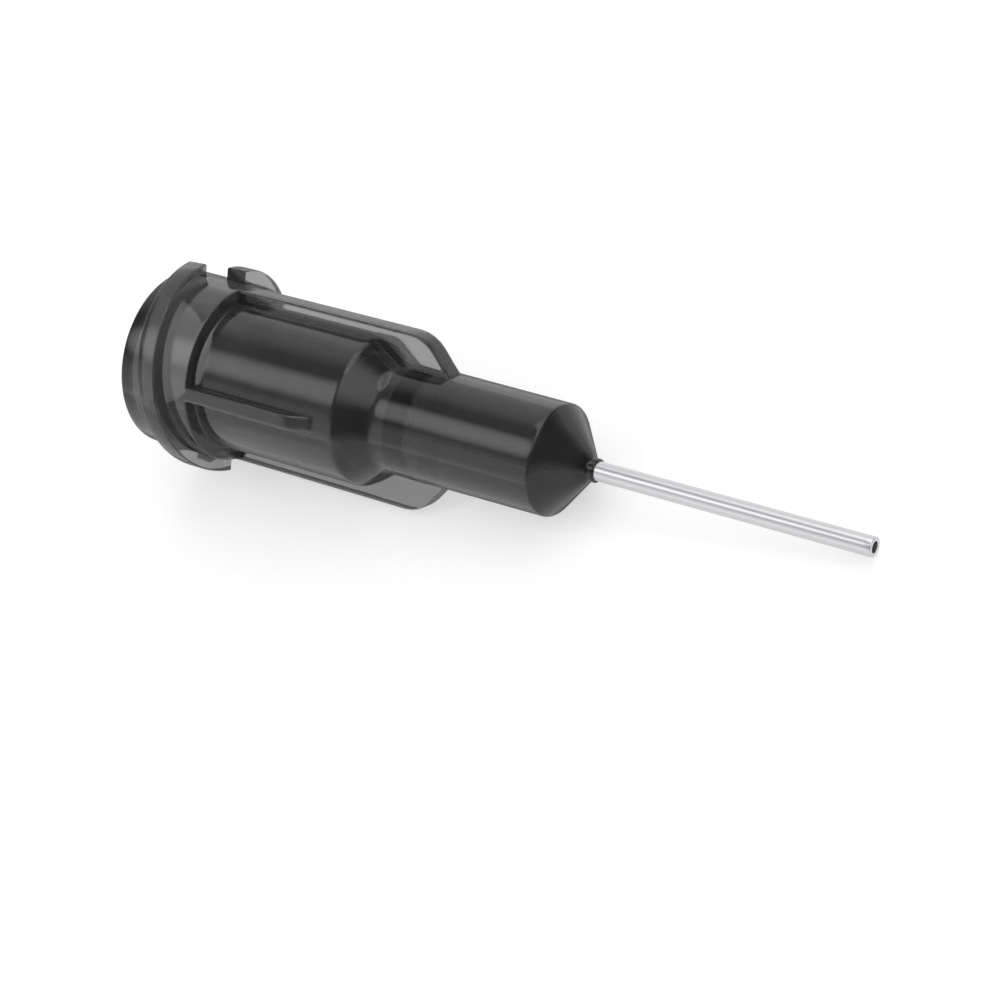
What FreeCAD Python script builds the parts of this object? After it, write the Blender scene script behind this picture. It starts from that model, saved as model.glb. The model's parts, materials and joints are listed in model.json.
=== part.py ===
import FreeCAD, Part
import math
import os

# Dispensing needle tip: a moulded hub with a female luer lock end, and a
# blunt stainless tube that runs out of its nose. All sizes in millimetres,
# angles in degrees.

# Hub, from the mouth to the nose
hub_length = 19.4
collar_diameter = 6.84
collar_length = 3.25
barrel_diameter = 5.78
barrel_length = 6.45
shoulder_angle = 34.0
nozzle_diameter = 4.24
nozzle_draft = 0.35
nose_angle = 49.5
nose_land_length = 0.25
nose_land_wall = 0.08

# Broken edges of the hub's outside
mouth_chamfer = 0.1
shoulder_round = 0.35
shoulder_blend = 0.8

# Luer socket and the passage behind it
socket_diameter = 4.3
socket_taper = 0.06
socket_depth = 9.3
socket_chamfer = 0.12
socket_floor_angle = 34.0
passage_diameter = 2.3
passage_end = 11.1
funnel_angle = 45.0

# Double start thread on the collar, as blunt ended ridges
thread_crest_diameter = 7.9
thread_lead = 3.35
thread_starts = 2
ridge_width = 0.8
ridge_sweep = 174.5
ridge_setback = 0.53
ridge_start_angle = 0.5

# Fins: a long pair and, square to it, a short pair
long_fin_thickness = 0.8
long_fin_reach = 9.83
long_fin_ramp = 49.5
long_fin_corner = 1.4
short_fin_thickness = 0.55
short_fin_reach = 5.6
short_fin_ramp = 31.0
short_fin_corner = 0.5
fin_round = 0.07
fin_foot_round = 0.18

# Needle: 22 gauge tube, cut square
needle_diameter = 0.72
needle_bore = 0.41
needle_length = 10.9
needle_edge = 0.04

X = FreeCAD.Vector(1, 0, 0)
Y = FreeCAD.Vector(0, 1, 0)
ORIGIN = FreeCAD.Vector(0, 0, 0)

# How near a measured place must be to count as the same, for picking edges
SAME = 1e-4

# Worked out from the sizes above
collar_radius = collar_diameter / 2
crest_radius = thread_crest_diameter / 2
barrel_radius = barrel_diameter / 2
nozzle_radius = nozzle_diameter / 2
needle_radius = needle_diameter / 2
bore_radius = needle_bore / 2
barrel_end = collar_length + barrel_length
land_radius = needle_radius + nose_land_wall
land_start = hub_length - nose_land_length


def run(drop, angle):
    """The length over which a slope of the given angle loses the given radius."""
    return drop / math.tan(math.radians(angle))


shoulder_end = barrel_end + run(barrel_radius - nozzle_radius, shoulder_angle)
tube_start = passage_end + run(passage_diameter / 2 - bore_radius, funnel_angle)


def station(x, radius):
    """A point of a turned outline: how far from the mouth, how far from the axis."""
    return FreeCAD.Vector(x, radius, 0)


def nozzle_radius_at(x):
    """The drafted nozzle's radius at a station."""
    return nozzle_radius - (x - shoulder_end) * math.tan(math.radians(nozzle_draft))


def nose_start():
    """Where the drafted nozzle meets the nose cone."""
    draft = math.tan(math.radians(nozzle_draft))
    cone = math.tan(math.radians(nose_angle))
    rise = nozzle_radius_at(land_start) - land_radius
    return land_start - rise / (cone - draft)


def turned(points):
    """A solid of revolution about the part's axis from a closed outline."""
    outline = Part.makePolygon(points + points[:1])
    return Part.Face(outline).revolve(ORIGIN, X, 360)


def edges_at(shape, x, radius):
    """The round edges of a turned solid that lie at one station."""
    found = []
    for edge in shape.Edges:
        if not isinstance(edge.Curve, Part.Circle):
            continue
        if abs(edge.Curve.Center.x - x) < SAME and abs(edge.Curve.Radius - radius) < SAME:
            found.append(edge)
    return found


def middle_of(edge):
    return edge.valueAt((edge.FirstParameter + edge.LastParameter) / 2)


def runs_along(edge):
    """False for an edge that lies in one plane square to the axis."""
    return edge.BoundBox.XLength > 10 * SAME


def hub_blank():
    """The hub's turned outside: collar, barrel, shoulder, nozzle and nose cone."""
    cone_start = nose_start()
    blank = turned([
        station(0, 0),
        station(0, collar_radius - mouth_chamfer),
        station(mouth_chamfer, collar_radius),
        station(collar_length, collar_radius),
        station(collar_length, barrel_radius),
        station(barrel_end, barrel_radius),
        station(shoulder_end, nozzle_radius),
        station(cone_start, nozzle_radius_at(cone_start)),
        station(land_start, land_radius),
        station(hub_length, land_radius),
        station(hub_length, 0),
    ])
    blank = blank.makeFillet(shoulder_round, edges_at(blank, barrel_end, barrel_radius))
    return blank.makeFillet(shoulder_blend, edges_at(blank, shoulder_end, nozzle_radius))


def long_fin_foot():
    """The nozzle's radius where a long fin's ramp runs out on it."""
    return nozzle_radius_at(collar_length + long_fin_reach)


def fin_crest_end(reach, ramp, foot_radius):
    """Where a fin's crest line meets the line of its ramp."""
    return collar_length + reach - run(collar_radius - foot_radius, ramp)


def fin_pair(thickness, reach, ramp, corner, foot_radius):
    """Two opposite fins as one slab: crest flush with the collar, ramp at the front."""
    end = collar_length + reach
    crest_end = fin_crest_end(reach, ramp, foot_radius)
    envelope = turned([
        station(collar_length, 0),
        station(collar_length, collar_radius),
        station(crest_end, collar_radius),
        station(end, foot_radius),
        station(end, 0),
    ])
    envelope = envelope.makeFillet(corner, edges_at(envelope, crest_end, collar_radius))
    slab = Part.makeBox(reach, thickness, collar_diameter)
    slab.translate(FreeCAD.Vector(collar_length, -thickness / 2, -collar_radius))
    fins = envelope.common(slab).Solids[0]
    return fins.makeFillet(fin_round, crest_edges(fins, thickness, foot_radius))


def crest_edges(fins, thickness, foot_radius):
    """The edges of a fin pair where its flat sides meet the turned envelope."""
    edges = []
    for edge in fins.Edges:
        middle = middle_of(edge)
        on_side = abs(abs(middle.y) - thickness / 2) < SAME
        if on_side and abs(middle.z) > foot_radius and runs_along(edge):
            edges.append(edge)
    return edges


def foot_edges(body, blank):
    """The edges along which the fins' flat sides stand on the turned blank."""
    skin = blank.Shells[0]
    edges = []
    for edge in body.Edges:
        middle = middle_of(edge)
        on_long = abs(abs(middle.y) - long_fin_thickness / 2) < SAME
        on_short = abs(abs(middle.z) - short_fin_thickness / 2) < SAME
        if not (on_long or on_short) or not runs_along(edge):
            continue
        if skin.distToShape(Part.Vertex(middle))[0] < SAME:
            edges.append(edge)
    return edges


def thread_ridge(start_angle):
    """One blunt ended ridge of the lock thread, wound right-handed from the mouth."""
    root = collar_radius - ridge_width / 2
    side = ridge_width / 2
    path = Part.makeHelix(thread_lead, thread_lead * ridge_sweep / 360, collar_radius)
    profile = Part.makePolygon([
        FreeCAD.Vector(root, 0, -side),
        FreeCAD.Vector(crest_radius, 0, -side),
        FreeCAD.Vector(crest_radius, 0, side),
        FreeCAD.Vector(root, 0, side),
        FreeCAD.Vector(root, 0, -side),
    ])
    ridge = Part.Wire(path).makePipeShell([profile], True, True)
    ridge.rotate(ORIGIN, Y, 90)
    ridge.rotate(ORIGIN, X, start_angle)
    ridge.translate(X * (ridge_setback + side))
    return ridge


def passage():
    """The luer socket's taper, its floor, the funnel and the needle's seat."""
    mouth = socket_diameter / 2
    floor = mouth - socket_depth * socket_taper / 2
    passage_radius = passage_diameter / 2
    return turned([
        station(0, 0),
        station(0, mouth + socket_chamfer),
        station(socket_chamfer, mouth),
        station(socket_depth, floor),
        station(socket_depth + run(floor - passage_radius, socket_floor_angle), passage_radius),
        station(passage_end, passage_radius),
        station(tube_start, bore_radius),
        station(tube_start, needle_radius),
        station(hub_length, needle_radius),
        station(hub_length, 0),
    ])


def hub():
    """The one moulded piece, along X with its mouth at the origin."""
    blank = hub_blank()
    long_fins = fin_pair(
        long_fin_thickness, long_fin_reach, long_fin_ramp, long_fin_corner, long_fin_foot()
    )
    short_fins = fin_pair(
        short_fin_thickness, short_fin_reach, short_fin_ramp, short_fin_corner, barrel_radius
    )
    short_fins.rotate(ORIGIN, X, 90)
    body = blank.fuse([long_fins, short_fins])
    body = body.makeFillet(fin_foot_round, foot_edges(body, blank))
    for start in range(thread_starts):
        body = body.fuse(thread_ridge(ridge_start_angle + start * 360 / thread_starts))
    return body.cut(passage()).Solids[0]


def needle_tube():
    """The stainless tube, from the funnel's end to the blunt tip."""
    length = hub_length + needle_length - tube_start
    tube = Part.makeCylinder(needle_radius, length, X * tube_start, X)
    tube = tube.makeChamfer(needle_edge, edges_at(tube, hub_length + needle_length, needle_radius))
    return tube.cut(Part.makeCylinder(bore_radius, length, X * tube_start, X)).Solids[0]


def lay_down(shapes):
    """Set the part on the table as it comes to rest, mouth end to -X.

    It lies on three points: the front edge of a ridge's crest, the nozzle's front edge,
    and a long fin, which stops it rolling. The line through the first two gives the
    pitch, and the height that this line leaves at the fin gives the roll.
    """
    ridge_contact = ridge_setback + ridge_width + thread_lead * ridge_sweep / 4 / 360
    cone_start = nose_start()
    slope = (crest_radius - nozzle_radius_at(cone_start)) / (cone_start - ridge_contact)
    corner_length = long_fin_corner * math.tan(math.radians(long_fin_ramp) / 2)
    crest_end = fin_crest_end(long_fin_reach, long_fin_ramp, long_fin_foot())
    fin_contact = crest_end - corner_length
    height = crest_radius - slope * (fin_contact - ridge_contact)
    half_fin = math.asin(long_fin_thickness / 2 / collar_radius)
    roll = math.degrees(half_fin + math.acos(height / collar_radius))
    for shape in shapes:
        shape.rotate(ORIGIN, X, -roll)
        shape.rotate(ORIGIN, Y, math.degrees(math.atan(slope)))
    bounds = Part.makeCompound(shapes).optimalBoundingBox()
    middle = bounds.Center
    for shape in shapes:
        shape.translate(FreeCAD.Vector(-middle.x, -middle.y, -bounds.ZMin))


def main():
    os.makedirs("parts", exist_ok=True)
    parts = {"hub": hub(), "needle_tube": needle_tube()}
    lay_down(list(parts.values()))
    for name, shape in parts.items():
        shape.exportStep("parts/" + name + ".step")


main()
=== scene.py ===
import json
import math

import bmesh
import bpy
from bpy.props import FloatProperty, FloatVectorProperty, IntProperty, PointerProperty
from mathutils import Matrix, Vector


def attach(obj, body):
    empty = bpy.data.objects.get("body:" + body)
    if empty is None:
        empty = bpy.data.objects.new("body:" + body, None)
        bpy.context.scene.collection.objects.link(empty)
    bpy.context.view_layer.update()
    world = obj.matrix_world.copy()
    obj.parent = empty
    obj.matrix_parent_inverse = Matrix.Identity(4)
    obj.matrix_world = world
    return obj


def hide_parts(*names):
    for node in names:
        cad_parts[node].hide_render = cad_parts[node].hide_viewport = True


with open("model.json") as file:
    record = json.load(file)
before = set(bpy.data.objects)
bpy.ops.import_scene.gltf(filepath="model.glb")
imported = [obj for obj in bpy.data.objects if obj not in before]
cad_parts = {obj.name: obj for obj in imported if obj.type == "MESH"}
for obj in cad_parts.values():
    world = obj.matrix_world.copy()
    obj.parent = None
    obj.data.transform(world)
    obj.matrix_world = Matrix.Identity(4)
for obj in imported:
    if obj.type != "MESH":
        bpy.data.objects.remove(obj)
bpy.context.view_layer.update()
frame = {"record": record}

bl_info = {
    "name": "Dispensing needle tip",
    "version": (1, 0, 0),
    "blender": (4, 5, 0),
    "location": "3D View > Sidebar > Needle tip",
    "description": "Dresses the moulded hub and the steel tube of a dispensing needle tip",
    "category": "Add Mesh",
}

# The sizes' unit
MM = 0.001


def length(name, text, value):
    """A size in millimetres, kept as a length property."""
    return FloatProperty(
        name=name, description=text, default=value * MM, min=0.0, precision=5, unit="LENGTH"
    )


def angle(name, text, value):
    """An angle in degrees, kept as an angle property."""
    return FloatProperty(
        name=name, description=text, default=math.radians(value), subtype="ANGLE"
    )


def share(name, text, value):
    """A share between nothing and all, kept as a factor property."""
    return FloatProperty(
        name=name, description=text, default=value, min=0.0, max=1.0, subtype="FACTOR"
    )


def pixels(name, text, value):
    """A place in the picture, kept as a pixel property."""
    return FloatProperty(name=name, description=text, default=value, subtype="PIXEL")


def colour(name, text, value):
    """A colour, kept as a colour property."""
    return FloatVectorProperty(
        name=name, description=text, default=value, min=0.0, max=1.0, subtype="COLOR"
    )


class HubSizes(bpy.types.PropertyGroup):
    """The turned shape of the hub, outside and inside."""

    total: length("Length", "From the mouth to the nose's end", 19.4)
    collar_diameter: length("Collar", "Diameter of the collar and of the fins' crests", 6.84)
    collar_length: length("Collar length", "From the mouth to the step", 3.25)
    barrel_diameter: length("Barrel", "Diameter between the fins", 5.78)
    barrel_length: length("Barrel length", "From the step to the shoulder", 6.45)
    shoulder: angle("Shoulder", "Slope from the barrel down to the nozzle", 34.0)
    nozzle_diameter: length("Nozzle", "Diameter where the shoulder ends", 4.24)
    nozzle_draft: angle("Nozzle draft", "How much the nozzle narrows to the front", 0.35)
    nose: angle("Nose", "Slope of the nose cone", 49.5)
    land_length: length("Land length", "Short straight end round the tube", 0.25)
    land_wall: length("Land wall", "How far the land stands round the tube", 0.08)
    socket_diameter: length("Socket", "Diameter at the mouth", 4.3)
    socket_taper: share("Socket taper", "Loss of diameter over length", 0.06)
    socket_depth: length("Socket depth", "From the mouth to the socket's floor", 9.3)
    socket_floor: angle("Socket floor", "Slope from the socket down to the passage", 34.0)
    passage_diameter: length("Passage", "Diameter behind the socket", 2.3)
    passage_end: length("Passage end", "Where the funnel to the tube begins", 11.1)
    funnel: angle("Funnel", "Slope of the funnel down to the tube", 45.0)


class EdgeSizes(bpy.types.PropertyGroup):
    """Roundings of the hub's turned edges, outside to the nose and inside back to the mouth."""

    rim: length("Rim", "Outer edge of the mouth", 0.12)
    step: length("Step", "Edge where the collar ends", 0.06)
    step_lean: length("Step lean", "How far the step's edge lies before its foot", 0.03)
    step_foot: length("Step foot", "Corner between the step and the barrel", 0.1)
    shoulder: length("Shoulder", "Edge where the barrel ends", 0.4)
    shoulder_foot: length("Shoulder foot", "Corner between the shoulder and the nozzle", 0.8)
    nose: length("Nose", "Edge where the nozzle ends", 0.12)
    nose_foot: length("Nose foot", "Corner between the nose cone and the land", 0.1)
    land: length("Land", "Front edge of the land", 0.03)
    funnel: length("Funnel", "Corner between the passage and the funnel", 0.3)
    passage: length("Passage", "Edge where the passage begins", 0.15)
    socket_floor: length("Socket floor", "Corner at the bottom of the socket", 0.2)
    mouth: length("Mouth", "Inner edge of the mouth", 0.12)


class FinSizes(bpy.types.PropertyGroup):
    """The four fins, a long pair and a short pair square to it."""

    long_thickness: length("Long fin", "Thickness of the long pair", 0.8)
    long_reach: length("Long reach", "From the step to the end of the ramp", 9.83)
    long_ramp: angle("Long ramp", "Slope at the front of the long pair", 49.5)
    long_corner: length("Long corner", "Rounding from the crest to the ramp", 1.4)
    short_thickness: length("Short fin", "Thickness of the short pair", 0.55)
    short_reach: length("Short reach", "From the step to the end of the ramp", 5.6)
    short_ramp: angle("Short ramp", "Slope at the front of the short pair", 31.0)
    short_corner: length("Short corner", "Rounding from the crest to the ramp", 0.5)
    crest_round: length("Crest rounding", "Radius along the fins' edges", 0.08)
    foot_round: length("Foot rounding", "Radius along the fins' feet", 0.015)


class ThreadSizes(bpy.types.PropertyGroup):
    """The lock thread, as blunt ended ridges round the collar."""

    crest_diameter: length("Crest", "Diameter over the ridges", 7.9)
    lead: length("Lead", "How far one full turn moves along", 3.35)
    starts: IntProperty(name="Starts", description="Number of ridges", default=2, min=1)
    width: length("Width", "Width of a ridge along the part", 0.8)
    sweep: angle("Sweep", "How far round a ridge runs", 174.5)
    setback: length("Setback", "From the mouth to the ridge's first edge", 0.53)
    start: angle("Start", "Where the first ridge begins", 0.5)
    edge_round: length("Edge rounding", "Radius along the ridges' edges", 0.07)


class TubeSizes(bpy.types.PropertyGroup):
    """The steel tube."""

    diameter: length("Outside", "Outer diameter, 22 gauge", 0.72)
    bore: length("Bore", "Inner diameter", 0.41)
    reach: length("Reach", "How far it stands out of the nose", 10.9)
    edge_round: length("Edge rounding", "Radius of the deburred end", 0.04)


class Finishes(bpy.types.PropertyGroup):
    """Colours of the two materials and of the table."""

    smoke: colour("Smoke", "What is left of light inside the moulding", (0.33, 0.33, 0.33))
    steel: colour("Steel", "Colour of the drawn tube", (0.58, 0.58, 0.59))
    table: colour("Table", "Colour of the plain table", (0.5, 0.5, 0.5))


class PaintedShades(bpy.types.PropertyGroup):
    """Painted shade from stretch to stretch of the moulding: thick walls painted darker than thin
    ones, as shade where less light comes through.
    """

    rim: share("Rim", "Outside of the mouth's rim", 0.216)
    collar: share("Collar", "Collar and fins", 0.72)
    mouth: share("Mouth", "Inside of the mouth's rim", 0.1)
    barrel: share("Barrel", "Barrel and the socket inside it", 0.3)
    # Painted shade: the shoulder, the nose and the land are painted darker than the nozzle
    shoulder: share("Shoulder", "Slope between the barrel and the nozzle", 0.12)
    nozzle: share("Nozzle", "Nozzle on both sides of its dark band", 0.45)
    # Painted shade: the band is a dark ring painted where the funnel inside keeps the light out
    band: share("Band", "Dark band round the nozzle, where the funnel lies inside", 0.01)
    band_start: length("Band start", "From the mouth to the middle of the band's first edge", 11.42)
    band_end: length("Band end", "From the mouth to the middle of the band's last edge", 12.38)
    nose: share("Nose", "Cone in front of the nozzle", 0.16)
    land: share("Land", "Short end round the tube", 0.002)


class StudioSettings(bpy.types.PropertyGroup):
    """The even light, the key panel and the table."""

    ambient: share("Ambient", "Brightness of the sky high up", 0.3)
    horizon: share("Horizon", "Brightness added at the horizon", 0.5)
    horizon_height: angle("Horizon height", "Where the added brightness has faded", 14.0)
    key_compass: angle("Key compass", "Compass angle of the key panel", 90.0)
    key_height: angle("Key height", "Height angle of the key panel", 60.0)
    key_distance: length("Key distance", "From the part to the key panel", 300.0)
    key_size: length("Key size", "Diameter of the key panel", 240.0)
    key_power: FloatProperty(
        name="Key power", description="Power of the key panel", default=0.18096, precision=5,
        unit="POWER",
    )
    table_side: length("Table side", "Side of the square table", 1200.0)
    table_glow: share("Table glow", "Light that the table gives off by itself", 0.57)


class ViewSettings(bpy.types.PropertyGroup):
    """Where the photograph was taken from, told from the end of the hub's nose."""

    lens: FloatProperty(name="Lens", description="Focal length", default=97.03, unit="CAMERA")
    distance: length("Distance", "Depth from the camera to the nose's end", 94.82)
    nose_x: pixels("Nose across", "Column of the nose's end in the picture", 598.4)
    nose_y: pixels("Nose down", "Row of the nose's end in the picture", 471.1)
    swing: angle("Swing", "Angle between the part's axis and the line of sight", 58.68)
    tilt: angle("Tilt", "How far the axis drops to the right in the picture", 16.11)
    turn: angle("Turn", "Turn of the part about its own axis", 155.2)


def mm(value):
    """A length property in millimetres, the unit that the meshes are built in."""
    return value / MM


def run(drop, slope):
    """The length over which a slope loses the given radius."""
    return drop / math.tan(slope)


class Hub:
    """The hub's sizes in millimetres, with the radii and stations that follow from them."""

    def __init__(self, scene):
        sizes, fins, tube = scene.tip_hub, scene.tip_fins, scene.tip_tube
        self.total = mm(sizes.total)
        self.collar = mm(sizes.collar_diameter) / 2
        self.step = mm(sizes.collar_length)
        self.barrel = mm(sizes.barrel_diameter) / 2
        self.nozzle = mm(sizes.nozzle_diameter) / 2
        self.draft = sizes.nozzle_draft
        self.barrel_end = self.step + mm(sizes.barrel_length)
        self.shoulder_end = self.barrel_end + run(self.barrel - self.nozzle, sizes.shoulder)
        self.tube = mm(tube.diameter) / 2
        self.bore = mm(tube.bore) / 2
        self.tip = self.total + mm(tube.reach)
        self.land = self.tube + mm(sizes.land_wall)
        self.land_start = self.total - mm(sizes.land_length)
        drop = self.nozzle_at(self.land_start) - self.land
        slope = math.tan(sizes.nose) - math.tan(self.draft)
        self.nose_start = self.land_start - drop / slope
        self.mouth = mm(sizes.socket_diameter) / 2
        self.socket_depth = mm(sizes.socket_depth)
        self.floor = self.mouth - self.socket_depth * sizes.socket_taper / 2
        self.passage = mm(sizes.passage_diameter) / 2
        drop = self.floor - self.passage
        self.passage_start = self.socket_depth + run(drop, sizes.socket_floor)
        self.passage_end = mm(sizes.passage_end)
        self.tube_start = self.passage_end + run(self.passage - self.bore, sizes.funnel)
        self.long_foot = self.nozzle_at(self.step + mm(fins.long_reach))
        self.crest_end = self.fin_crest_end(fins.long_reach, fins.long_ramp, self.long_foot)

    def nozzle_at(self, x):
        """The drafted nozzle's radius at a station."""
        return self.nozzle - (x - self.shoulder_end) * math.tan(self.draft)

    def fin_crest_end(self, reach, ramp, foot):
        """Where a fin's crest line meets the line of its ramp."""
        return self.step + mm(reach) - run(self.collar - foot, ramp)


def placement(scene):
    """From the part's own frame in millimetres to the lying part in metres.

    The tube's mount gives the axis and the place along it. The roll is that of the
    solids: a long fin stops the part from rolling on its thread and its nozzle.
    """
    hub, fins, thread = Hub(scene), scene.tip_fins, scene.tip_thread
    mount = next(m for m in frame["record"]["mounts"] if m["name"] == "needle")
    axis = Vector(mount["axis"]).normalized()
    mouth = Vector(mount["pos_m"]) - axis * (hub.total + hub.tip) / 2 * MM
    crest = mm(thread.crest_diameter) / 2
    quarter = thread.lead * thread.sweep / 4 / math.tau
    contact = mm(thread.setback + thread.width + quarter)
    slope = (crest - hub.nozzle_at(hub.nose_start)) / (hub.nose_start - contact)
    fin_contact = hub.crest_end - mm(fins.long_corner) * math.tan(fins.long_ramp / 2)
    height = crest - slope * (fin_contact - contact)
    fin_edge = math.asin(mm(fins.long_thickness) / 2 / hub.collar)
    roll = fin_edge + math.acos(height / hub.collar)
    pitch = math.atan2(-axis.z, axis.x)
    turn = Matrix.Rotation(pitch, 4, "Y") @ Matrix.Rotation(-roll, 4, "X")
    return Matrix.Translation(mouth) @ turn @ Matrix.Scale(MM, 4)


# How finely turned shapes are drawn: the step of an arc and the most between two rings,
# in millimetres
ARC_STEP = math.radians(15)
ROW_GAP = 0.3

# How finely half of a fin's section is drawn: crest, rounding, side, foot and the way
# to the next fin
CREST_CUTS = 3
ROUND_CUTS = 4
SIDE_CUTS = 3
FOOT_CUTS = 4
GAP_CUTS = 38

# Points of a ridge's helix and of the tube's circle
RIDGE_POINTS = 160
TUBE_POINTS = 96

# Past this angle an edge is shaded sharp
CREASE = math.radians(35)

# What counts as nothing, in millimetres and in radians
NOTHING = 1e-4


def arc_at(before, here, after):
    """The arc that rounds one corner of an outline, as points."""
    corner = Vector(here[:2])
    back = (Vector(before[:2]) - corner).normalized()
    on = (Vector(after[:2]) - corner).normalized()
    opening = back.angle(on)
    turn = math.pi - opening
    if here[2] <= 0 or turn < NOTHING:
        return [tuple(corner)]
    centre = corner + (back + on).normalized() * here[2] / math.sin(opening / 2)
    first = corner + back * here[2] / math.tan(opening / 2) - centre
    last = corner + on * here[2] / math.tan(opening / 2) - centre
    pieces = max(2, math.ceil(turn / ARC_STEP))
    points = []
    for i in range(pieces + 1):
        mix = i / pieces
        spoke = first * math.sin((1 - mix) * turn) + last * math.sin(mix * turn)
        points.append(tuple(centre + spoke / math.sin(turn)))
    return points


def rounded(corners):
    """An open outline through corners given as (x, radius, rounding)."""
    line = [corners[0][:2]]
    for before, here, after in zip(corners, corners[1:], corners[2:]):
        line += arc_at(before, here, after)
    return line + [corners[-1][:2]]


def height_on(line, x):
    """The radius of a fin's outline at a station; nothing beyond its ends."""
    for (x0, r0), (x1, r1) in zip(line, line[1:]):
        if x0 <= x <= x1 and x1 > x0:
            return r0 + (r1 - r0) * (x - x0) / (x1 - x0)
    return 0.0


# Past a fin's end its points stay on the body, spread no wider than this to each side,
# and where a fin is low its roundings take up no more than this share of its height
WIDEST = math.pi / 5
ROUND_SHARE = 0.98


def half_fin(body, crest, half, crest_round, foot_round):
    """Half of a fin's section as (angle, radius), from its middle to the body's skin."""
    height = crest - body
    if height < NOTHING:
        # Every ring has as many points, and those that lie together are merged later
        edge = min(math.asin(min(1.0, half / body)), WIDEST)
        points = [(edge * i / CREST_CUTS, body) for i in range(CREST_CUTS + 1)]
        return points + [(edge, body)] * (ROUND_CUTS + SIDE_CUTS + FOOT_CUTS)
    fit = min(1.0, ROUND_SHARE * height / (crest_round + foot_round))
    top, foot = crest_round * fit, foot_round * fit
    top_u = math.sqrt((crest - top) ** 2 - (half - top) ** 2)
    foot_u = math.sqrt((body + foot) ** 2 - (half + foot) ** 2)
    lean = math.atan2(half - top, top_u)
    spread = math.atan2(half + foot, foot_u)
    points = [(lean * i / CREST_CUTS, crest) for i in range(CREST_CUTS + 1)]
    flat = []
    for i in range(1, ROUND_CUTS + 1):
        t = lean + (math.pi / 2 - lean) * i / ROUND_CUTS
        flat.append((top_u + top * math.cos(t), half - top + top * math.sin(t)))
    for i in range(1, SIDE_CUTS + 1):
        flat.append((top_u + (foot_u - top_u) * i / SIDE_CUTS, half))
    for i in range(1, FOOT_CUTS + 1):
        t = -math.pi / 2 - (math.pi / 2 - spread) * i / FOOT_CUTS
        flat.append((foot_u + foot * math.cos(t), half + foot + foot * math.sin(t)))
    return points + [(math.atan2(w, u), math.hypot(w, u)) for u, w in flat]


def section(body, long_crest, short_crest, fins):
    """One closed ring of (angle, radius) round the axis, from the middle of a short fin."""
    rounds = mm(fins.crest_round), mm(fins.foot_round)
    short = half_fin(body, max(body, short_crest), mm(fins.short_thickness) / 2, *rounds)
    long = half_fin(body, max(body, long_crest), mm(fins.long_thickness) / 2, *rounds)
    ring = []
    for quarter in range(4):
        here, there = (short, long) if quarter % 2 == 0 else (long, short)
        base = quarter * math.pi / 2
        ring += [(base + a, r) for a, r in here]
        gap_start, gap_end = here[-1][0], math.pi / 2 - there[-1][0]
        for i in range(1, GAP_CUTS):
            ring.append((base + gap_start + (gap_end - gap_start) * i / GAP_CUTS, body))
        ring += [(base + math.pi / 2 - a, r) for a, r in reversed(there[1:])]
    return ring


def outside_line(hub, edges):
    """The hub's outside from the rim to the nose, as corners with their roundings."""
    return [
        (0.0, (hub.mouth + hub.collar) / 2, 0.0),
        (0.0, hub.collar, mm(edges.rim)),
        (hub.step - mm(edges.step_lean), hub.collar, mm(edges.step)),
        (hub.step, hub.barrel, mm(edges.step_foot)),
        (hub.barrel_end, hub.barrel, mm(edges.shoulder)),
        (hub.shoulder_end, hub.nozzle, mm(edges.shoulder_foot)),
        (hub.nose_start, hub.nozzle_at(hub.nose_start), mm(edges.nose)),
        (hub.land_start, hub.land, mm(edges.nose_foot)),
        (hub.total, hub.land, mm(edges.land)),
        (hub.total, hub.tube, 0.0),
    ]


# How far the seat lies in the steel, so that no gap shows between hub and tube
SUNK = 0.005


def inside_line(hub, edges):
    """The hub's inside from the tube's seat back to the rim."""
    return [
        (hub.total, hub.tube - SUNK, 0.0),
        (hub.tube_start + SUNK, hub.tube - SUNK, 0.0),
        (hub.tube_start + SUNK, hub.bore + SUNK, 0.0),
        (hub.tube_start - SUNK, hub.bore + SUNK, 0.0),
        (hub.passage_end, hub.passage, mm(edges.funnel)),
        (hub.passage_start, hub.passage, mm(edges.passage)),
        (hub.socket_depth, hub.floor, mm(edges.socket_floor)),
        (0.0, hub.mouth, mm(edges.mouth)),
        (0.0, (hub.mouth + hub.collar) / 2, 0.0),
    ]


# How far a fin's outline runs back into the collar and past the end of its ramp
OVERLAP = 0.2
RUN_OUT = 0.5


def fin_line(hub, reach, ramp, corner, foot):
    """A fin's crest and ramp, from the step to where the ramp runs out."""
    return rounded([
        (hub.step - OVERLAP, hub.collar, 0.0),
        (hub.fin_crest_end(reach, ramp, foot), hub.collar, mm(corner)),
        (hub.step + mm(reach), foot, 0.0),
        (hub.step + mm(reach) + RUN_OUT, foot - RUN_OUT * math.tan(ramp), 0.0),
    ])


# Two cuts lie at least this share of an outline's stretch apart
CUT_APART = 0.02


def stations(line, extra):
    """The outline's points with the fins' stations and even cuts put in between."""
    rows = [line[0]]
    for (x0, r0), (x1, r1) in zip(line, line[1:]):
        cuts = {1.0}
        if abs(x1 - x0) > NOTHING:
            cuts |= {(x - x0) / (x1 - x0) for x in extra if min(x0, x1) < x < max(x0, x1)}
            pieces = math.ceil(abs(x1 - x0) / ROW_GAP)
            cuts |= {i / pieces for i in range(1, pieces)}
        last = 0.0
        for cut in sorted(cuts):
            if cut - last > CUT_APART or cut == 1.0:
                rows.append((x0 + (x1 - x0) * cut, r0 + (r1 - r0) * cut))
                last = cut
    return rows


# Points nearer than this are one point, in the unit that a mesh is built in
SAME_POINT = 1e-5


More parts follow.
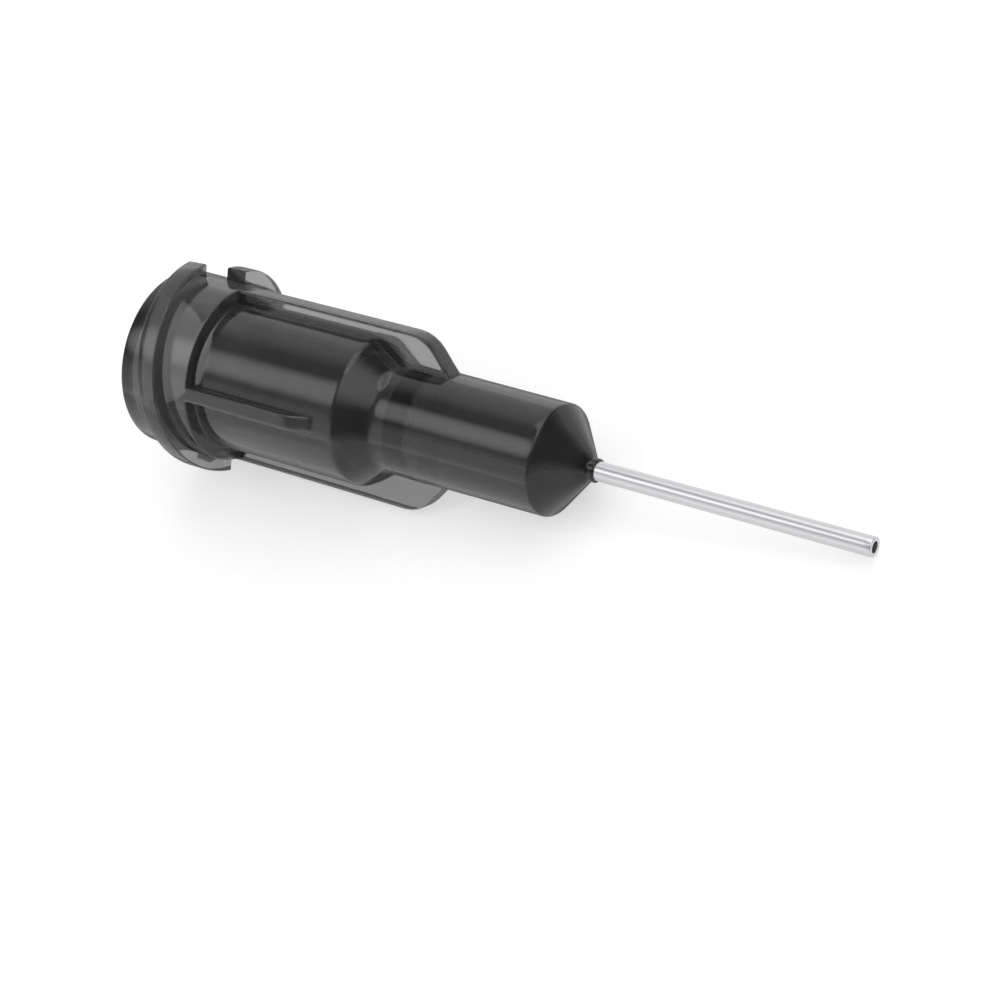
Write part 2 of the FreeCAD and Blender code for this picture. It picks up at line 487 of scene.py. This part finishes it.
def mesh_object(name, verts, faces):
    """A new object from points and faces, with its doubles merged and its faces outwards."""
    mesh = bpy.data.meshes.new(name)
    bm = bmesh.new()
    made = [bm.verts.new(v) for v in verts]
    for face in faces:
        bm.faces.new([made[i] for i in face])
    bmesh.ops.remove_doubles(bm, verts=bm.verts, dist=SAME_POINT)
    bmesh.ops.recalc_face_normals(bm, faces=bm.faces)
    bm.to_mesh(mesh)
    bm.free()
    piece = bpy.data.objects.new(name, mesh)
    bpy.context.scene.collection.objects.link(piece)
    return piece


def rings_to_mesh(name, rings):
    """A closed skin over rings of (x, angle, radius), the last joined to the first."""
    count = len(rings[0])
    verts = [(x, r * math.cos(a), r * math.sin(a)) for ring in rings for x, a, r in ring]
    faces = []
    for i in range(len(rings)):
        below, above = i * count, (i + 1) % len(rings) * count
        for j in range(count):
            k = (j + 1) % count
            faces.append((below + j, below + k, above + k, above + j))
    return mesh_object(name, verts, faces)


def hub_body(scene):
    """The moulding without its thread."""
    hub, edges, fins = Hub(scene), scene.tip_edges, scene.tip_fins
    long = fin_line(hub, fins.long_reach, fins.long_ramp, fins.long_corner, hub.long_foot)
    short = fin_line(hub, fins.short_reach, fins.short_ramp, fins.short_corner, hub.barrel)
    extra = [x for x, _ in long + short]
    rings = []
    for x, body in stations(rounded(outside_line(hub, edges)), extra):
        rings.append([
            (x, a, r) for a, r in section(body, height_on(long, x), height_on(short, x), fins)
        ])
    for x, body in stations(rounded(inside_line(hub, edges)), [])[:-1]:
        rings.append([(x, a, r) for a, r in section(body, 0.0, 0.0, fins)])
    return rings_to_mesh("hub_body", rings)


def new_tree(name, kind, inputs, outputs):
    """A node group of one kind with named inputs and outputs."""
    tree = bpy.data.node_groups.new(name, kind)
    for way, sockets in (("INPUT", inputs), ("OUTPUT", outputs)):
        for label, socket in sockets.items():
            tree.interface.new_socket(label, in_out=way, socket_type="NodeSocket" + socket)
    return tree


def add(tree, kind, inputs=None, **settings):
    """A node with its settings, and its inputs given by name as a value or a socket."""
    node = tree.nodes.new(kind)
    for key, value in settings.items():
        setattr(node, key, value)
    for key, value in (inputs or {}).items():
        socket = node.inputs[key]
        if isinstance(value, bpy.types.NodeSocket):
            tree.links.new(value, socket)
        else:
            socket.default_value = value
    return node


def calc(tree, operation, *values):
    """One math node's result."""
    return add(tree, "ShaderNodeMath", dict(enumerate(values)), operation=operation).outputs[0]


# How much closer a ridge's points stand at its ends than in its middle, from 0 to 1
CROWDED = 0.9


def helix(tree, given, radius):
    """A ridge's path and how far it has turned, its points closer together at both ends."""
    line = add(tree, "GeometryNodeMeshLine", {"Count": given["Points"]})
    index = add(tree, "GeometryNodeInputIndex").outputs[0]
    even = calc(tree, "DIVIDE", index, calc(tree, "SUBTRACT", given["Points"], 1.0))
    wave = calc(tree, "SINE", calc(tree, "MULTIPLY", even, math.tau))
    along = calc(tree, "SUBTRACT", even, calc(tree, "MULTIPLY", wave, CROWDED / math.tau))
    turn = calc(tree, "MULTIPLY", along, given["Sweep"])
    climb = calc(tree, "MULTIPLY", turn, calc(tree, "DIVIDE", given["Lead"], math.tau))
    place = add(tree, "ShaderNodeCombineXYZ", {
        "X": calc(tree, "MULTIPLY", radius, calc(tree, "COSINE", turn)),
        "Y": calc(tree, "MULTIPLY", radius, calc(tree, "SINE", turn)),
        "Z": climb,
    })
    line = add(tree, "GeometryNodeSetPosition", {
        "Geometry": line.outputs[0], "Position": place.outputs[0],
    })
    path = add(tree, "GeometryNodeMeshToCurve", {"Mesh": line.outputs[0]})
    path = add(tree, "GeometryNodeSetCurveNormal", {"Curve": path.outputs[0]}, mode="Z_UP")
    return path.outputs[0], turn


def rounded_end(tree, given, turn, radius, side):
    """How much of its width a ridge has at a turn: it shrinks at its blunt ends."""
    along = calc(tree, "MULTIPLY", turn, radius)
    whole = calc(tree, "MULTIPLY", given["Sweep"], radius)
    to_end = calc(tree, "MINIMUM", along, calc(tree, "SUBTRACT", whole, along))
    rounding = given["Edge Rounding"]
    short_by = calc(tree, "MAXIMUM", calc(tree, "SUBTRACT", rounding, to_end), 0.0)
    squares = calc(
        tree, "SUBTRACT",
        calc(tree, "POWER", rounding, 2.0),
        calc(tree, "POWER", short_by, 2.0),
    )
    inset = calc(tree, "SUBTRACT", rounding, calc(tree, "SQRT", squares))
    return calc(tree, "SUBTRACT", 1.0, calc(tree, "DIVIDE", inset, side))


def ridge_bar(tree, given, radius, side):
    """One ridge: a bar with rounded edges that follows the helix."""
    path, turn = helix(tree, given, radius)
    path = add(tree, "GeometryNodeSetCurveRadius", {
        "Curve": path, "Radius": rounded_end(tree, given, turn, radius, side),
    })
    bar = add(tree, "GeometryNodeCurvePrimitiveQuadrilateral", {
        "Width": given["Width"], "Height": given["Width"],
    })
    bar = add(tree, "GeometryNodeFilletCurve", {
        "Curve": bar.outputs[0], "Radius": given["Edge Rounding"], "Count": ROUND_CUTS,
    }, mode="POLY")
    return add(tree, "GeometryNodeCurveToMesh", {
        "Curve": path.outputs[0], "Profile Curve": bar.outputs[0], "Fill Caps": True,
    }).outputs[0]


def repeated_round(tree, ridge, starts):
    """The ridge once for each start, evenly round the axis, as real geometry."""
    spots = add(tree, "GeometryNodeMeshLine", {"Count": starts, "Offset": (0, 0, 0)})
    index = add(tree, "GeometryNodeInputIndex").outputs[0]
    step = calc(tree, "DIVIDE", math.tau, starts)
    spin = add(tree, "ShaderNodeCombineXYZ", {"Z": calc(tree, "MULTIPLY", index, step)})
    ridges = add(tree, "GeometryNodeInstanceOnPoints", {
        "Points": spots.outputs[0], "Instance": ridge, "Rotation": spin.outputs[0],
    })
    return add(tree, "GeometryNodeRealizeInstances", {"Geometry": ridges.outputs[0]}).outputs[0]


def thread_tree():
    """Ridges that wind round a body: laid along the part and joined to it as one skin."""
    tree = new_tree("thread_ridges", "GeometryNodeTree", {
        "Geometry": "Geometry",
        "Crest Radius": "Float",
        "Lead": "Float",
        "Sweep": "Float",
        "Width": "Float",
        "Setback": "Float",
        "Start": "Float",
        "Edge Rounding": "Float",
        "Starts": "Int",
        "Points": "Int",
        "Material": "Material",
    }, {"Geometry": "Geometry"})
    given = add(tree, "NodeGroupInput").outputs
    side = calc(tree, "MULTIPLY", given["Width"], 0.5)
    radius = calc(tree, "SUBTRACT", given["Crest Radius"], side)
    ridge = ridge_bar(tree, given, radius, side)
    laid = add(tree, "GeometryNodeTransform", {
        "Geometry": repeated_round(tree, ridge, given["Starts"]),
        "Rotation": (0.0, math.pi / 2, 0.0),
    })
    turned = add(tree, "ShaderNodeCombineXYZ", {"X": given["Start"]})
    shift = add(tree, "ShaderNodeCombineXYZ", {"X": calc(tree, "ADD", given["Setback"], side)})
    laid = add(tree, "GeometryNodeTransform", {
        "Geometry": laid.outputs[0],
        "Rotation": turned.outputs[0],
        "Translation": shift.outputs[0],
    })
    union = add(tree, "GeometryNodeMeshBoolean", operation="UNION", solver="EXACT")
    tree.links.new(given["Geometry"], union.inputs["Mesh 2"])
    tree.links.new(laid.outputs[0], union.inputs["Mesh 2"])
    real = add(tree, "GeometryNodeRealizeInstances", {"Geometry": union.outputs[0]})
    done = add(tree, "GeometryNodeSetMaterial", {
        "Geometry": real.outputs[0], "Material": given["Material"],
    })
    tree.links.new(done.outputs[0], add(tree, "NodeGroupOutput").inputs[0])
    return tree


def baked(piece, tree, values, name):
    """The piece with a node tree applied, as a plain mesh under a new name."""
    modifier = piece.modifiers.new(tree.name, "NODES")
    modifier.node_group = tree
    for item in tree.interface.items_tree:
        if item.in_out == "INPUT" and item.name in values:
            modifier[item.identifier] = values[item.name]
    seen = piece.evaluated_get(bpy.context.evaluated_depsgraph_get())
    mesh = bpy.data.meshes.new_from_object(seen)
    piece.modifiers.remove(modifier)
    old = piece.data
    piece.data = mesh
    piece.name = name
    mesh.name = name
    bpy.data.meshes.remove(old)
    return piece


def settled(piece, scene, node):
    """The finished piece, laid down in metres, shaded, hung under the root, with its CAD node
    hidden.
    """
    mesh = piece.data
    mesh.transform(placement(scene))
    for face in mesh.polygons:
        face.use_smooth = True
    mesh.set_sharp_from_angle(angle=CREASE)
    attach(piece, "root")
    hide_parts(node)
    return piece


def new_material(name):
    """An empty node material and its two fixed nodes."""
    material = bpy.data.materials.new(name)
    material.use_nodes = True
    tree = material.node_tree
    return material, tree, tree.nodes["Principled BSDF"], tree.nodes["Material Output"]


def part_place(tree, scene, stretch=(1.0, 1.0, 1.0)):
    """Where a point lies along and across the part, in millimetres times a stretch."""
    lying = placement(scene)
    return add(tree, "ShaderNodeMapping", {
        "Vector": add(tree, "ShaderNodeTexCoord").outputs["Object"],
        "Location": lying.translation,
        "Rotation": lying.to_quaternion().to_euler(),
        "Scale": [MM / times for times in stretch],
    }, vector_type="TEXTURE").outputs[0]


def uneven_surface():
    """The shader group of fine unevenness that both materials share, built once."""
    name = "uneven_surface"
    if name in bpy.data.node_groups:
        return bpy.data.node_groups[name]
    group = new_tree(name, "ShaderNodeTree", {
        "Place": "Vector",
        "Scale": "Float",
        "Detail": "Float",
        "Smoothest": "Float",
        "Roughest": "Float",
    }, {"Grain": "Float", "Roughness": "Float"})
    given = add(group, "NodeGroupInput").outputs
    grain = add(group, "ShaderNodeTexNoise", {
        "Vector": given["Place"], "Scale": given["Scale"], "Detail": given["Detail"],
    })
    rough = add(group, "ShaderNodeMapRange", {
        "Value": grain.outputs[0],
        "To Min": given["Smoothest"],
        "To Max": given["Roughest"],
    })
    add(group, "NodeGroupOutput", {
        "Grain": grain.outputs[0], "Roughness": rough.outputs[0],
    })
    return group


# Between these two heights over the barrel the painted shade turns to the lighter one of the thin
# walls
FADE_START = 0.02
FADE_END = 0.12

# A long fin has the lighter painted shade of the thin walls up to this far off its side, and
# from this far over the nozzle
OFF_SIDE = 0.02
OFF_NOZZLE = 0.04


def thin_wall_shade_mask(tree, scene, spot):
    """A mask that is 1 on the collar and the fins, which get the lighter painted shade, and 0 on
    the body between them.
    """
    hub, fins = Hub(scene), scene.tip_fins
    across = add(tree, "ShaderNodeCombineXYZ", {"Y": spot["Y"], "Z": spot["Z"]})
    off_axis = add(tree, "ShaderNodeVectorMath", {0: across.outputs[0]}, operation="LENGTH")
    outer = add(tree, "ShaderNodeMapRange", {
        "Value": off_axis.outputs["Value"],
        "From Min": hub.barrel + FADE_START, "From Max": hub.barrel + FADE_END,
    }, interpolation_type="SMOOTHSTEP")
    side = mm(fins.long_thickness) / 2 + OFF_SIDE
    between = calc(tree, "LESS_THAN", calc(tree, "ABSOLUTE", spot["Y"]), side)
    foot = hub.nozzle + OFF_NOZZLE
    above = calc(tree, "GREATER_THAN", calc(tree, "ABSOLUTE", spot["Z"]), foot)
    before = calc(tree, "LESS_THAN", spot["X"], hub.step + mm(fins.long_reach))
    fin = calc(tree, "MULTIPLY", calc(tree, "MULTIPLY", between, above), before)
    return calc(tree, "MAXIMUM", outer.outputs[0], fin)


def by_station(tree, spot, scene, first, steps):
    """A painted grey by the place along the part: the first shade, then one after each step.

    A step is a place in millimetres from the mouth, half the length over which it
    blends, and the painted shade behind it.
    """
    total = Hub(scene).total
    ramp = add(tree, "ShaderNodeValToRGB", {"Fac": calc(tree, "DIVIDE", spot["X"], total)})
    stops = ramp.color_ramp.elements
    stops.remove(stops[1])
    before = first
    for place, soft, after in steps:
        stops.new((place - soft) / total).color = (before, before, before, 1.0)
        stops.new((place + soft) / total).color = (after, after, after, 1.0)
        before = after
    stops.remove(stops[0])
    return ramp.outputs["Color"]


def body_shade_steps(scene):
    """Where the body's painted shade changes: darker over thick walls, and a dark band painted as
    shade where the funnel lies inside.
    """
    hub, shades = Hub(scene), scene.tip_tints
    return (
        (0.4, 0.1, shades.barrel),
        (hub.barrel_end + 0.025, 0.075, shades.shoulder),
        (hub.shoulder_end + 0.025, 0.125, shades.nozzle),
        (mm(shades.band_start), 0.06, shades.band),
        (mm(shades.band_end), 0.06, shades.nozzle),
        (hub.nose_start, 0.1, shades.nose),
        (hub.land_start - 0.3, 0.2, shades.land),
    )


def thin_wall_shade_steps(scene):
    """Where the painted shade of the collar and the fins changes: at the mouth's rim alone."""
    return ((0.475, 0.075, scene.tip_tints.collar),)


def smoke_plastic(scene):
    """Smoke-dark translucent moulding: clear surface, dark inside, faintly uneven, with shade
    painted into its base colour.
    """
    material, tree, shader, output = new_material("smoke_plastic")
    spot = add(tree, "ShaderNodeSeparateXYZ", {"Vector": part_place(tree, scene)}).outputs
    shades = scene.tip_tints
    # Painted shade: the base colour, which also tints the light that passes through, is darkened
    # stretch by stretch, most on the thick body, the nozzle's band and the land
    painted_shade = add(tree, "ShaderNodeMapRange", {
        "Value": thin_wall_shade_mask(tree, scene, spot),
        "To Min": by_station(tree, spot, scene, shades.mouth, body_shade_steps(scene)),
        "To Max": by_station(tree, spot, scene, shades.rim, thin_wall_shade_steps(scene)),
    })
    uneven = add(tree, "ShaderNodeGroup", {
        "Place": add(tree, "ShaderNodeTexCoord").outputs["Object"],
        "Scale": 1200.0, "Detail": 3.0, "Smoothest": 0.06, "Roughest": 0.12,
    }, node_tree=uneven_surface())
    facing = add(tree, "ShaderNodeLayerWeight", {"Blend": 0.5}).outputs["Facing"]
    graze = add(tree, "ShaderNodeMapRange", {
        "Value": facing, "From Min": 0.6, "From Max": 0.9, "To Max": 0.5,
    }, interpolation_type="SMOOTHSTEP")
    rough = calc(tree, "ADD", uneven.outputs["Roughness"], graze.outputs[0])
    tree.links.new(painted_shade.outputs[0], shader.inputs["Base Color"])
    tree.links.new(rough, shader.inputs["Roughness"])
    shader.inputs["Transmission Weight"].default_value = 0.965
    shader.inputs["IOR"].default_value = 1.49
    smoke = add(tree, "ShaderNodeVolumeAbsorption", {
        "Color": (*scene.tip_finish.smoke, 1.0), "Density": 1500.0,
    })
    tree.links.new(smoke.outputs[0], output.inputs["Volume"])
    return material


def drawn_steel(scene):
    """Bright stainless tube with faint lines drawn along it."""
    material, tree, shader, _ = new_material("drawn_steel")
    lines = add(tree, "ShaderNodeGroup", {
        "Place": part_place(tree, scene, (0.06, 9.0, 9.0)),
        "Scale": 1.0, "Detail": 4.0, "Smoothest": 0.26, "Roughest": 0.36,
    }, node_tree=uneven_surface())
    bump = add(tree, "ShaderNodeBump", {
        "Height": lines.outputs["Grain"], "Strength": 0.05, "Distance": 0.00001,
    })
    shader.inputs["Base Color"].default_value = (*scene.tip_finish.steel, 1.0)
    shader.inputs["Metallic"].default_value = 1.0
    tree.links.new(lines.outputs["Roughness"], shader.inputs["Roughness"])
    tree.links.new(bump.outputs[0], shader.inputs["Normal"])
    return material


class TIP_OT_hub(bpy.types.Operator):
    """Makes the moulded hub with its fins, socket and lock thread"""

    bl_idname = "tip.hub"
    bl_label = "Moulded hub"

    def execute(self, context):
        scene = context.scene
        thread = scene.tip_thread
        plastic = smoke_plastic(scene)
        piece = baked(hub_body(scene), thread_tree(), {
            "Crest Radius": mm(thread.crest_diameter) / 2,
            "Lead": mm(thread.lead),
            "Sweep": thread.sweep,
            "Width": mm(thread.width),
            "Setback": mm(thread.setback),
            "Start": thread.start,
            "Edge Rounding": mm(thread.edge_round),
            "Starts": thread.starts,
            "Points": RIDGE_POINTS,
            "Material": plastic,
        }, "moulded_hub")
        piece.data.materials.clear()
        piece.data.materials.append(plastic)
        settled(piece, scene, "hub")
        return {"FINISHED"}


class TIP_OT_tube(bpy.types.Operator):
    """Makes the steel tube, open from end to end"""

    bl_idname = "tip.tube"
    bl_label = "Steel tube"

    def execute(self, context):
        scene = context.scene
        hub = Hub(scene)
        edge = mm(scene.tip_tube.edge_round)
        wall = (hub.tube + hub.bore) / 2
        line = rounded([
            (hub.tube_start, wall, 0.0),
            (hub.tube_start, hub.tube, 0.0),
            (hub.tip, hub.tube, edge),
            (hub.tip, hub.bore, edge / 2),
            (hub.tube_start, hub.bore, 0.0),
            (hub.tube_start, wall, 0.0),
        ])[:-1]
        step = math.tau / TUBE_POINTS
        rings = []
        for x, r in stations(line + line[:1], [])[:-1]:
            rings.append([(x, step * i, r) for i in range(TUBE_POINTS)])
        piece = rings_to_mesh("steel_tube", rings)
        piece.data.materials.append(drawn_steel(scene))
        settled(piece, scene, "needle_tube")
        return {"FINISHED"}


# The photograph's side in pixels, and the width of the camera's sensor in millimetres
PICTURE = 1000
SENSOR = 36.0


def camera_matrix(scene):
    """The photograph's camera in the part's own frame, in millimetres."""
    view, hub = scene.tip_view, Hub(scene)
    focal = view.lens / SENSOR * PICTURE
    depth = mm(view.distance)
    nose = Vector((
        (view.nose_x - PICTURE / 2) / focal * depth,
        (view.nose_y - PICTURE / 2) / focal * depth,
        depth,
    ))
    axis = Vector((
        math.sin(view.swing) * math.cos(view.tilt),
        math.sin(view.swing) * math.sin(view.tilt),
        -math.cos(view.swing),
    ))
    up = Vector((math.sin(view.tilt), -math.cos(view.tilt), 0.0))
    front = axis.cross(up)
    across = front * math.cos(view.turn) + up * math.sin(view.turn)
    third = axis.cross(across)
    to_part = Matrix((axis, across, third))
    place = Vector((hub.total, 0.0, 0.0)) - to_part @ nose
    columns = to_part @ Matrix(((1, 0, 0), (0, -1, 0), (0, 0, -1)))
    return Matrix.Translation(place) @ columns.to_4x4()


# The studio's soft lights as seen from the part: compass angle and height angle of the
# middle, angle over which it is even, angle where it has faded out, all in degrees, and
# brightness
SOFT_LIGHTS = (
    (-145.0, 58.0, 0.0, 20.0, 2.15),
    (-121.0, 6.0, 18.0, 42.0, 0.85),
    (122.0, 18.0, 20.0, 48.0, 0.68),
    (10.0, 60.0, 8.0, 40.0, 1.5),
)


def heading(compass, height):
    """The direction of a compass angle and a height angle, both in radians."""
    level = math.cos(height)
    return Vector((math.cos(compass) * level, math.sin(compass) * level, math.sin(height)))


def studio(settings):
    """A world of even light, brighter at the horizon, with soft patches that fade out."""
    world = bpy.data.worlds.new("studio")
    world.use_nodes = True
    tree = world.node_tree
    seen = add(tree, "ShaderNodeTexCoord").outputs["Generated"]
    rise = add(tree, "ShaderNodeSeparateXYZ", {"Vector": seen}).outputs["Z"]
    total = add(tree, "ShaderNodeMapRange", {
        "Value": rise, "From Min": 0.0, "From Max": math.sin(settings.horizon_height),
        "To Min": settings.ambient + settings.horizon, "To Max": settings.ambient,
    }, interpolation_type="SMOOTHSTEP").outputs[0]
    for *angles, brightness in SOFT_LIGHTS:
        compass, height, even, faded = map(math.radians, angles)
        near = add(tree, "ShaderNodeVectorMath", {0: seen, 1: heading(compass, height)},
                   operation="DOT_PRODUCT")
        patch = add(tree, "ShaderNodeMapRange", {
            "Value": near.outputs["Value"],
            "From Min": math.cos(faded),
            "From Max": math.cos(even),
            "To Max": brightness,
        }, interpolation_type="SMOOTHSTEP")
        total = calc(tree, "ADD", total, patch.outputs[0])
    background = tree.nodes["Background"]
    background.inputs["Color"].default_value = (1, 1, 1, 1)
    tree.links.new(total, background.inputs["Strength"])
    return world


def key_panel(settings):
    """The one soft panel that throws the part's shadow."""
    lamp = bpy.data.lights.new("key", "AREA")
    lamp.shape = "DISK"
    lamp.size = settings.key_size
    lamp.energy = settings.key_power
    panel = bpy.data.objects.new("key", lamp)
    place = heading(settings.key_compass, settings.key_height)
    panel.location = place * settings.key_distance
    panel.rotation_euler = (-place).to_track_quat("-Z", "Y").to_euler()
    return panel


def pale_table(scene):
    """The plain table, which glows faintly so that the shadow on it stays weak."""
    settings = scene.tip_studio
    half = settings.table_side / 2
    corners = [(-half, -half, 0.0), (half, -half, 0.0), (half, half, 0.0), (-half, half, 0.0)]
    table = mesh_object("table", corners, [(0, 1, 2, 3)])
    material, _, shader, _ = new_material("pale_table")
    shader.inputs["Base Color"].default_value = (*scene.tip_finish.table, 1.0)
    shader.inputs["Roughness"].default_value = 0.9
    shader.inputs["Emission Color"].default_value = (1.0, 1.0, 1.0, 1.0)
    shader.inputs["Emission Strength"].default_value = settings.table_glow
    table.data.materials.append(material)
    return table


def photo_camera(scene):
    """The camera that stands where the photograph was taken."""
    camera = bpy.data.objects.new("camera", bpy.data.cameras.new("camera"))
    camera.data.lens = scene.tip_view.lens
    camera.data.sensor_width = SENSOR
    camera.data.sensor_fit = "HORIZONTAL"
    camera.data.clip_start = 0.001
    camera.data.clip_end = 10.0
    seen = placement(scene) @ camera_matrix(scene)
    turn = seen.to_quaternion().to_matrix().to_4x4()
    camera.matrix_world = Matrix.Translation(seen.translation) @ turn
    return camera


class TIP_OT_stage(bpy.types.Operator):
    """Sets the pale table, the soft light and the photograph's camera"""

    bl_idname = "tip.stage"
    bl_label = "Stage"

    def execute(self, context):
        scene = context.scene
        pale_table(scene)
        scene.world = studio(scene.tip_studio)
        scene.view_settings.view_transform = "Standard"
        scene.camera = photo_camera(scene)
        for item in (key_panel(scene.tip_studio), scene.camera):
            scene.collection.objects.link(item)
        return {"FINISHED"}


class TIP_PT_panel(bpy.types.Panel):
    """Lists the pieces of the needle tip"""

    bl_idname = "TIP_PT_panel"
    bl_label = "Needle tip"
    bl_space_type = "VIEW_3D"
    bl_region_type = "UI"
    bl_category = "Needle tip"

    def draw(self, context):
        for operator in OPERATORS:
            self.layout.operator(operator.bl_idname)


GROUPS = {
    "tip_hub": HubSizes,
    "tip_edges": EdgeSizes,
    "tip_fins": FinSizes,
    "tip_thread": ThreadSizes,
    "tip_tube": TubeSizes,
    "tip_finish": Finishes,
    "tip_tints": PaintedShades,
    "tip_studio": StudioSettings,
    "tip_view": ViewSettings,
}
OPERATORS = (TIP_OT_hub, TIP_OT_tube, TIP_OT_stage)


def register():
    for name, group in GROUPS.items():
        bpy.utils.register_class(group)
        setattr(bpy.types.Scene, name, PointerProperty(type=group))
    for item in (*OPERATORS, TIP_PT_panel):
        bpy.utils.register_class(item)


def unregister():
    for item in (TIP_PT_panel, *reversed(OPERATORS)):
        bpy.utils.unregister_class(item)
    for name, group in reversed(GROUPS.items()):
        delattr(bpy.types.Scene, name)
        bpy.utils.unregister_class(group)


def main():
    register()
    bpy.ops.tip.hub()
    bpy.ops.tip.tube()
    bpy.ops.tip.stage()


if __name__ == "__main__":
    main()
